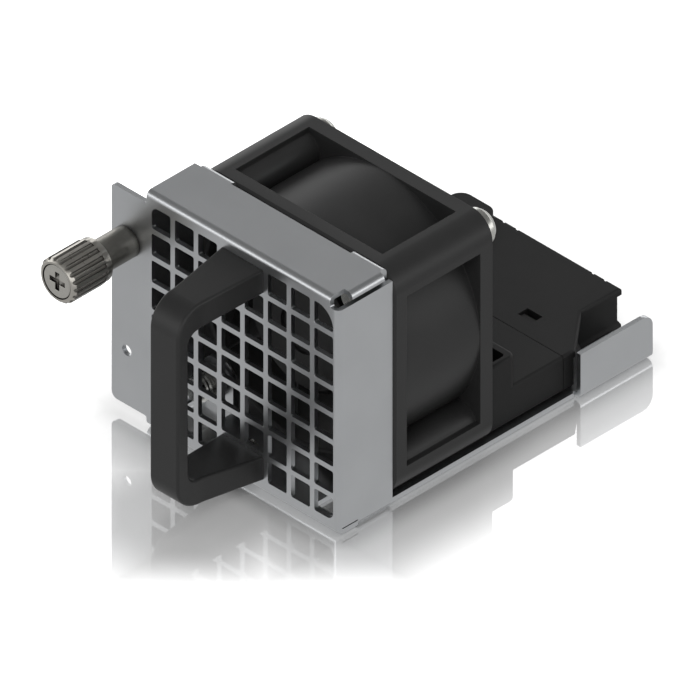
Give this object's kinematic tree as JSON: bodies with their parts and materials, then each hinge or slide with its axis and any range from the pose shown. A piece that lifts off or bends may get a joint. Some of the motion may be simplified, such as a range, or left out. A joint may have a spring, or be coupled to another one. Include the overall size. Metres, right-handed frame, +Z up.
{
  "type": "hot-swappable fan module",
  "caption": "Slide-in cooling fan module: folded steel tray with grille front, pull handle, captive thumbscrew, axial fan and rear blind-mate connector.",
  "frame": {"origin": "rear face of the front plate, on the fan's centre line, at the tray's underside", "axes": "+Y from the front plate back to the connector (insertion direction), +Z up, +X to the right seen from the front"},
  "size_m": [0.0473, 0.0817, 0.0415],
  "materials": {
    "zinc_sheet": "satin zinc-plated sheet",
    "handle_nylon": "fine-grained satin black",
    "fan_plastic": "satin black",
    "impeller_plastic": "satin black",
    "housing_plastic": "matte black",
    "carrier_plastic": "matte dark grey",
    "zinc_screw": "bright zinc",
    "nut_steel": "dull zinc",
    "black_nickel": "dark nickel",
    "bright_steel": "polished",
    "spring_steel": "drawn wire",
    "bearing_brass": "turned",
    "lamination_steel": "pressed",
    "ferrite": "sintered",
    "coil_copper": "enamelled",
    "board_laminate": "solder mask",
    "contact_gold": "plated"
  },
  "bodies": {
    "module": {"bearing_front_outer": "bright_steel", "bearing_rear_outer": "bright_steel", "bearing_tube": "bearing_brass", "captive_sleeve": "bright_steel", "chassis": "zinc_sheet", "clinch_nut_1": "nut_steel", "clinch_nut_2": "nut_steel", "clinch_nut_3": "nut_steel", "clinch_nut_4": "nut_steel", "connector_base": "housing_plastic", "connector_board": "board_laminate", "connector_housing": "housing_plastic", "contact_1": "contact_gold", "contact_2": "contact_gold", "contact_3": "contact_gold", "contact_4": "contact_gold", "contact_5": "contact_gold", "contact_6": "contact_gold", "contact_carrier": "carrier_plastic", "fan_frame": "fan_plastic", "fan_screw_1": "zinc_screw", "fan_screw_2": "zinc_screw", "fan_screw_3": "zinc_screw", "fan_screw_4": "zinc_screw", "handle": "handle_nylon", "handle_screw_1": "zinc_screw", "handle_screw_2": "zinc_screw", "housing_screw_1": "zinc_screw", "housing_screw_2": "zinc_screw", "housing_screw_3": "zinc_screw", "housing_screw_4": "zinc_screw", "lead_cover": "housing_plastic", "motor_board": "board_laminate", "stator_coil_1": "coil_copper", "stator_coil_2": "coil_copper", "stator_coil_3": "coil_copper", "stator_coil_4": "coil_copper", "stator_core": "lamination_steel", "stator_insulator_front": "carrier_plastic", "stator_insulator_rear": "carrier_plastic"},
    "rotor": {"impeller": "impeller_plastic", "rotor_yoke": "lamination_steel", "rotor_magnet": "ferrite", "rotor_shaft": "bright_steel", "bearing_front_inner": "bright_steel", "bearing_rear_inner": "bright_steel", "preload_washer": "bright_steel", "shaft_clip": "bright_steel"},
    "return_spring": {"captive_spring": "spring_steel"},
    "thumbscrew": {"thumbscrew_knob": "black_nickel", "thumbscrew_screw": "bright_steel"}
  },
  "joints": [
    {"name": "rotor_spin", "type": "hinge", "parent": "module", "child": "rotor", "pos_m": [0, 0.0182, 0.0208], "axis": [0, 1, 0], "continuous": true},
    {"name": "thumbscrew_turn", "type": "hinge", "parent": "module", "child": "return_spring", "pos_m": [-0.0235, -0.0078, 0.03065], "axis": [0, 1, 0], "continuous": true},
    {"name": "thumbscrew_push", "type": "slide", "parent": "return_spring", "child": "thumbscrew", "axis": [0, 1, 0], "range_m": [0, 0.0043], "stiffness_N_per_m": 600, "springref_m": -0.003, "deforming": ["captive_spring"]}
  ]
}
